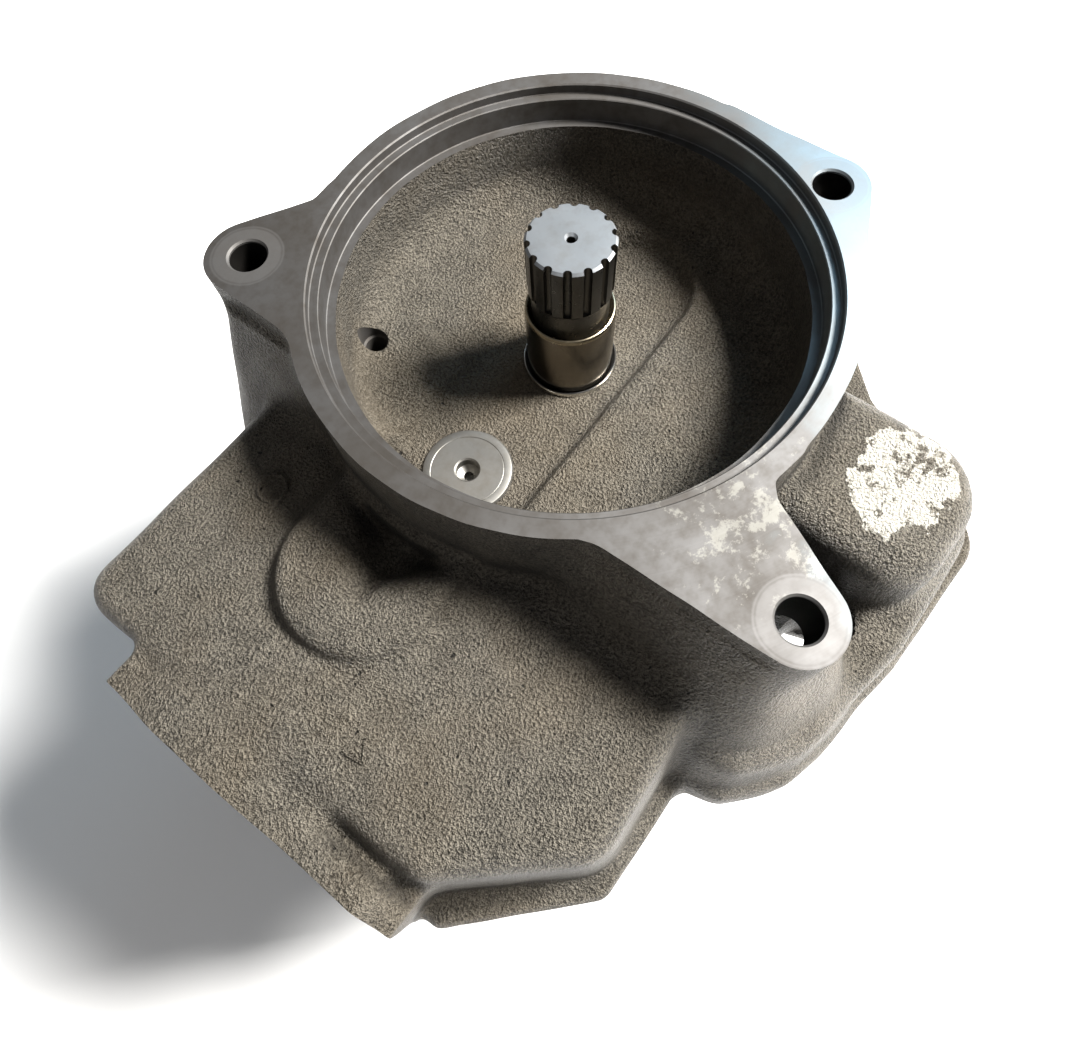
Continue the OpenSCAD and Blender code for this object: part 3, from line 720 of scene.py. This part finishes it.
def main_casting():
    g = Field((-268, -236, -306), (140, 126, -119), GRID * 1.25)
    x, y, z = g.x, g.y, g.z
    # two barrels joined by a web
    f = None
    for sx in SHAFTS:
        b = g.rod(sx, 0, 82.5, -310, -110, draft=-0.006)
        f = b if f is None else union(f, b, 30)
    f = union(f, g.slab([(-GAP, 52, 4), (0, 52, 4), (0, -52, 4), (-GAP, -52, 4)], -310, -110), 20)
    # servo housings along the +Y side, with a neck back to each barrel
    for x0, x1 in ((-48, 82), (-222, -104)):
        s = g.rod_x(87, SERVO_Z, 20.5, x0, x1, edge=2)
        neck = g.block(x0 + 3, x1 - 3, 40, 88, SERVO_Z - 17, SERVO_Z + 17, 5)
        f = union(f, union(s, neck, 4), 9)
    # stiffening ribs under the flange
    for rx, ry0, ry1 in ((-77.5, -100, 60), (0, -104, 0), (-GAP, -104, 0), (-200, -100, 0), (46, -100, 0)):
        rib = g.block(rx - 4.5, rx + 4.5, ry0, ry1, -310, -130, 3)
        f = union(f, both(rib, (-y - 84 - 0.12 * (z + 300)) / 1.01, 3), 5)
    for ry in (-42, 24):
        for x0, x1, side in ((60, 110, 1), (-250, -215, -1)):
            rib = g.block(x0, x1, ry - 4.5, ry + 4.5, -310, -130, 3)
            f = union(f, both(rib, (side * (x + GAP / 2) - 160 - 0.09 * (z + 300)) / 1.01, 3), 5)
    # cored bulge under the lump
    f = union(f, g.slab([(60, -96, 10), (52, -206, 24), (-20, -206, 24), (-60, -96, 20)], -160, -128, bottom=14), 8)
    # flange at the split line and foot at the port block
    lip = g.slab(LIP, -139, -115, bottom=3)
    f = union(f, lip, 6)
    foot = g.slab([(-245, 103, 22), (91, 103, 22), (91, -95, 22), (-245, -95, 22)], -310, -283, top=5)
    f = union(f, foot, 7)
    for bx, by in REAR_BOLTS:
        f = union(f, g.rod(bx, by, 15, -310, -258, edge=6), 7)
    # bosses and seats for the case bolts
    for bx, by in CASE_BOLTS:
        f = without(f, g.rod(bx, by, 11.5, -175, -139), 1.5)
    # drain boss
    f = union(f, g.rod_y(-77, -236, 20, -94, -40, 3), 6)
    # openings
    for sx in SHAFTS:
        f = without(f, g.rod(sx, 0, 70, -320, -145, 4))
    f = without(f, slot_field(g, -142, -27), 1)
    for ex, ey in (EAR_A, EAR_B):
        f = without(f, g.rod(ex, ey, 19, -150, -100), 1)
    f = f + 0.22 * np.sin(x / 9.1 + 1.1 * np.sin(z / 15.0)) * np.sin(z / 7.7 + y / 8.0)
    whole = f
    f = np.maximum(f, g.block(-266, 138, -234, 124, -304, -121))
    o = new_object("main_casting", g.mesh(f, "main_casting"), IRON2)

    def ends(bm):
        box_into(bm, -320, 200, -300, 200, SPLIT, -80)
        box_into(bm, -320, 200, -300, 200, -340, LOW_Z)

    def bores(bm):
        for sx in SHAFTS:
            rod_into(bm, sx, 0, 26, -150, -120, steps=64)
        for bx, by in CASE_BOLTS:
            lathe(bm, [(0, -139.6), (10.5, -139.6), (10.5, -138.6), (6.6, -138.6), (6.6, -120), (0, -120)],
                  (bx, by, 0), steps=36)
        for bx, by in REAR_BOLTS:
            lathe(bm, [(0, -310), (7, -310), (7, -268), (0, -264)], (bx, by, 0), steps=24)
        lathe(bm, [(0, -96), (12.6, -96), (12.6, -94), (12, -93), (12, -60), (0, -60)], (-77, 0, -236), "y", 40)

    def servo(bm):
        for x0, x1 in ((-38, 84), (-224, -108)):
            rod_into(bm, 88, SERVO_Z, 14.03, x0, x1, "x", 48)

    def windows(bm):
        for sx in SHAFTS:
            box_into(bm, sx - 9, sx + 18, 60, 84, SERVO_Z - 9, SERVO_Z + 9)

    def cradle(bm):
        for sx in SHAFTS:
            for s in (-1, 1):
                lathe(bm, [(0, 32), (54, 32), (54, 54), (0, 54)] if s > 0 else
                      [(0, -54), (54, -54), (54, -32), (0, -32)], (sx, 0, -205), "y", 96)

    def faces(bm):
        box_into(bm, 82, 130, 64, 112, SERVO_Z - 24, SERVO_Z + 24)
        box_into(bm, -262, -222, 64, 112, SERVO_Z - 24, SERVO_Z + 19)
        box_into(bm, -104, -50, -120, -94, -262, -210)

    cut(o, [ends, bores, servo, windows, cradle, faces], MACH)
    g.shade(o, whole)
    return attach(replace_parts(soften(o), "main_case"), "housing")


def port_casting():
    g = Field((-256, -106, -378), (102, 114, -294), GRID * 1.25)
    x, y, z = g.x, g.y, g.z
    f = g.slab([(-244, 98, 22), (90, 98, 22), (90, -90, 22), (-244, -90, 22)], -380, -290, draft=0.0)
    # a waist round the sides, flanges top and bottom
    waist = g.slab([(-238, 92, 20), (84, 92, 20), (84, -84, 20), (-238, -84, 20)], -360, -314)
    shell = without(g.slab([(-300, 200), (200, 200), (200, -200), (-300, -200)], -358, -315, top=5, bottom=5), waist, 5)
    f = without(f, shell, 3)
    for sx in SHAFTS:
        # pads for the suction and delivery flanges
        pad = g.slab([(sx - 52, -60, 2), (sx + 52, -60, 2), (sx + 52, -102, 2), (sx - 52, -102, 2)], -368, -304)
        pad = both(pad, both(np.abs(x - sx) - 52, np.abs(z - PORT_Z) - 32, 13))
        f = union(f, pad, 4)
        pad = both(both(np.abs(x - sx) - 41, np.abs(z - PORT_Z) - 26, 11), both(y - 108, 60 - y))
        f = union(f, pad, 4)
    for bx, by in REAR_BOLTS:
        f = union(f, g.rod(bx, by, 15.5, -380, -290), 5)
    f = f + 0.2 * np.sin(x / 9.0) * np.sin(z / 6.7 + y / 8.0)
    whole = f
    f = np.maximum(f, g.block(-254, 100, -104, 112, -376, -296))
    o = new_object("port_casting", g.mesh(f, "port_casting"), IRON2)

    def ends(bm):
        box_into(bm, -320, 200, -300, 200, LOW_Z, -250)
        box_into(bm, -320, 200, -300, 200, -400, BASE_Z)

    def fronts(bm):
        box_into(bm, -320, 200, -130, -96, -390, -280)
        box_into(bm, -320, 200, 104, 130, -390, -280)

    def ports(bm):
        for sx in SHAFTS:
            lathe(bm, [(0, -99), (26.2, -99), (26.2, -96), (25, -94.8), (25, -54), (21, -50), (14, -50), (14, -42),
                       (0, -42)], (sx, 0, PORT_Z), "y", 72)
            lathe(bm, [(0, 42), (12.5, 42), (12.5, 102.8), (13.7, 104), (13.7, 107), (0, 107)], (sx, 0, PORT_Z), "y", 56)
            for i in (-1, 1):
                for k in (-1, 1):
                    lathe(bm, [(0, -99), (6.8, -99), (6.8, -96), (6, -95.2), (6, -77), (0, -74)],
                          (sx + i * 38.9, 0, PORT_Z + k * 21.45), "y", 24)
                    lathe(bm, [(0, 84), (6, 87), (6, 103.2), (6.8, 104), (6.8, 107), (0, 107)],
                          (sx + i * 28.6, 0, PORT_Z + k * 13.9), "y", 24)
            rod_into(bm, sx, 0, 27, -328, -296, steps=56)

    def grooves(bm):
        # O-ring grooves round the ports
        for sx in SHAFTS:
            for y0, r0, r1 in ((-97, 28.5, 32.5), (102, 17.0, 20.5)):
                lathe(bm, [(r0, y0), (r1, y0), (r1, y0 + 3), (r0, y0 + 3), (r0, y0)], (sx, 0, PORT_Z), "y", 72)

    def kidneys(bm):
        for sx in SHAFTS:
            for a0, a1, w in ((205, 335, 7.0), (30, 150, 6.0)):
                a = np.radians(np.linspace(a0, a1, 20))
                out = [(45.41 + w) * np.array([math.cos(t), math.sin(t)]) for t in a]
                inn = [(45.41 - w) * np.array([math.cos(t), math.sin(t)]) for t in a[::-1]]
                slab_into(bm, [(sx + p[0], p[1]) for p in out + inn], -340, -298)

    def seats(bm):
        for bx, by in REAR_BOLTS:
            lathe(bm, [(0, -390), (12, -390), (12, -356), (7.5, -356), (7.5, -290), (0, -290)], (bx, by, 0), steps=36)

    cut(o, [ends, fronts, ports, grooves, kidneys, seats], MACH)
    g.shade(o, whole)
    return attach(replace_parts(soften(o), "port_block"), "housing")


# -------------------------------------------------------------- shafts and small parts

def turned(name, body, replaced, fill, mats, cuts=()):
    bm = bmesh.new()
    fill(bm)
    o = new_object(name, bm_mesh(name, bm), *mats)
    if cuts:
        cut(o, cuts, mats[-1])
    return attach(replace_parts(soften(o, 35), replaced), body)


def drive_shaft():
    def body(bm):
        lathe(bm, [(0, -328), (12, -328), (13, -327), (13, -302), (15, -301.4), (15, -124.6), (21.4, -124), (22, -123.4),
                   (22, -96), (20, -96), (20, -66), (18.5, -65.6), (18.5, -11), (18.9, -9.2), (20, -8), (20, 18.9),
                   (18.9, 20), (0, 20)], steps=168)

    def grooves(bm):
        for i in range(14):
            turn = Matrix.Rotation(2 * math.pi * i / 14 + 0.11, 4, "Z")
            arc = [(19.3 - 1.9 * math.sin(math.pi * k / 10), -1.9 * math.cos(math.pi * k / 10)) for k in range(11)]
            slab_into(bm, [(19.3, -1.9), (23, -2.05), (23, 2.05), (19.3, 1.9)][:3] + arc[::-1], -9.6, 24, turn)

    def drill(bm):
        lathe(bm, [(0, 11), (2.0, 12), (2.0, 18.6), (3.0, 20.02), (3.0, 22), (0, 22)], steps=32)

    return turned("drive_shaft_turned", "drive", "drive_shaft", body, [SPLINE, ENDFACE], [grooves, drill])


def paint_faces(o, slot, test):
    """Faces whose centre and normal pass the test take another material slot."""
    for p in o.data.polygons:
        if test(p.center / MM, p.normal):
            p.material_index = slot


def sleeve():
    def fill(bm):
        lathe(bm, [(18.55, -66), (18.55, -25.6), (20.1, -24.1), (20.4, -23.3), (20.9, -23.0), (21.4, -23.2), (21.9, -24.3),
                   (22, -25.2), (22, -74), (20.05, -74), (20.05, -66), (18.55, -66)], steps=128)

    return turned("wear_sleeve_ground", "drive", "wear_sleeve", fill, [SLEEVE, GOLD])


def dust_ring():
    def fill(bm):
        lathe(bm, [(24.6, -66.5), (24.6, -64.2), (24.2, -63.55), (23.7, -63.6), (23.5, -64.3), (23.2, -65.2), (22.7, -65.0),
                   (22.62, -65.6), (22.9, -66.5), (24.6, -66.5)], steps=128)

    return turned("dust_ring_lip", "housing", "dust_ring", fill, [BRIGHT, RUBBER])


def plug():
    def fill(bm):
        lathe(bm, [(0, -77), (22.6, -77), (23, -76.6), (23, -65.9), (22.2, -64.7), (21.9, -64.6), (18.7, -64.6),
                   (18.4, -64.85), (18.1, -64.6), (6.6, -64.6), (5.8, -65.3), (5.8, -70), (2.6, -72), (2.6, -76), (0, -76)],
              (-84, 1.5, 0), steps=96)

    return turned("bowl_plug_turned", "housing", "bowl_plug", fill, [PLUG])


def cap_screw(bm, x, y, r, z0, z1, shank_r, shank_z):
    """Head from z0 (outer face) up to z1, shank up to shank_z."""
    c = 0.1 * (z1 - z0)
    lathe(bm, [(0, z0), (r - c, z0), (r, z0 + c), (r, z1 - 0.4), (r - 0.4, z1), (shank_r, z1), (shank_r, shank_z - 1),
               (shank_r - 1, shank_z), (0, shank_z)], (x, y, 0), steps=56)


def hexes(points, r, z0, z1):
    def fill(bm):
        for x, y in points:
            lathe(bm, [(0, z0), (r, z0), (r, z1), (0, z1 + r * 0.4)], (x, y, 0), steps=6)
    return fill


def screws():
    def case(bm):
        for x, y in CASE_BOLTS:
            cap_screw(bm, x, y, 9, -151, -139, 6, -105)

    def rear(bm):
        for x, y in REAR_BOLTS:
            cap_screw(bm, x, y, 10.5, -370, -356, 7, -273)

    turned("case_screws", "housing", "case_bolts", case, [BLACK], [hexes(CASE_BOLTS, 5.77, -153, -145)])
    turned("rear_screws", "housing", "rear_bolts", rear, [BLACK], [hexes(REAR_BOLTS, 6.93, -373, -363)])


def plugs():
    def servo(bm):
        lathe(bm, [(0, 50), (13, 50), (13.9, 51), (13.9, 82), (16.5, 82.05), (18, 83), (18, 88.8), (17, 90), (0, 90)],
              (0, 88, SERVO_Z), "x", 72)
        lathe(bm, [(0, -230), (17, -230), (18, -228.8), (18, -223), (16.5, -222.05), (13.9, -222), (13.9, -200),
                   (13, -199), (0, -199)], (0, 88, SERVO_Z), "x", 72)

    def sockets(bm):
        lathe(bm, [(0, 83), (6.9, 85), (6.9, 93), (0, 93)], (0, 88, SERVO_Z), "x", 6)
        lathe(bm, [(0, -233), (6.9, -233), (6.9, -225), (0, -223)], (0, 88, SERVO_Z), "x", 6)

    def case(bm):
        lathe(bm, [(0, -101), (16, -101), (17, -100), (17, -95), (16, -94.1), (12, -94), (12, -75), (11, -74), (0, -74)],
              (-77, 0, -236), "y", 64)

    def socket(bm):
        lathe(bm, [(0, -104), (6.9, -104), (6.9, -97), (0, -95)], (-77, 0, -236), "y", 6)

    turned("servo_plugs_turned", "housing", "servo_plugs", servo, [BLACK], [sockets])
    turned("case_plug_turned", "housing", "case_plug", case, [BLACK], [socket])


# ------------------------------------------------------------------------ camera

def camera():
    cam = bpy.data.objects.new("camera", bpy.data.cameras.new("camera"))
    bpy.context.scene.collection.objects.link(cam)
    cam.data.sensor_width, cam.data.lens = 36.0, 24.315
    right, up, ahead = Vector((0.6074, -0.7933, -0.0413)), Vector((0.7445, 0.5503, 0.3781)), Vector((0.2772, 0.2603, -0.9249))
    m = Matrix((right, up, -ahead)).transposed().to_4x4()
    m.translation = Vector((-0.1818, -0.1313, 0.2558))
    cam.matrix_world = m
    cam.data.clip_start, cam.data.clip_end = 0.01, 20
    bpy.context.scene.camera = cam


def area(name, at, to, size, power, color=(1, 1, 1)):
    l = bpy.data.lights.new(name, "AREA")
    l.energy, l.size, l.color = power, size, color
    o = bpy.data.objects.new(name, l)
    bpy.context.scene.collection.objects.link(o)
    o.location = at
    o.rotation_euler = (Vector(to) - Vector(at)).to_track_quat("-Z", "Y").to_euler()


def studio():
    lo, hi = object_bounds()
    me = bpy.data.meshes.new("floor")
    s, z = 9.0, lo[2] - 0.0005
    me.from_pydata([(-s, -s, z), (s, -s, z), (s, s, z), (-s, s, z)], [], [(0, 1, 2, 3)])
    m = Mat("floor", (0.93, 0.93, 0.93), 0, 0.9)
    new_object("floor", me, m.finish(m.mix(m.noise(3.0), (0.92, 0.92, 0.92), (0.94, 0.94, 0.94))))
    w = bpy.data.worlds.new("world")
    w.use_nodes = True
    w.node_tree.nodes["Background"].inputs[0].default_value = (0.97, 0.98, 1, 1)
    w.node_tree.nodes["Background"].inputs[1].default_value = 0.15
    bpy.context.scene.world = w
    area("key", (0.92, -0.78, 1.22), (-0.05, -0.02, -0.1), 0.5, 185, (1, 0.98, 0.945))
    area("sky", (1.1, 0.0, 0.8), (0.05, 0, 0), 0.7, 5, (0.55, 0.80, 1))
    area("fill", (-1.5, -0.5, 0.15), (0, 0, -0.25), 1.4, 8)


front_casting()
foundry_marks()
main_casting()
port_casting()
shaft = drive_shaft()
paint_faces(shaft, 0, lambda c, n: True)
paint_faces(shaft, 1, lambda c, n: n.z > 0.5 and c.z > 16)
ring = sleeve()
paint_faces(ring, 1, lambda c, n: c.z > -25.3)
ring = dust_ring()
paint_faces(ring, 1, lambda c, n: math.hypot(c.x, c.y) < 23.5)
plug()
screws()
plugs()
for n in names:
    o = bpy.data.objects[n]
    if not o.hide_render:
        o.data.materials.clear()
        for start, mat in INNER:
            if n.startswith(start):
                o.data.materials.append(mat)
                break
        else:
            o.data.materials.append(STEEL)
camera()
studio()
bpy.context.scene.view_settings.view_transform = "Standard"
bpy.context.view_layer.update()
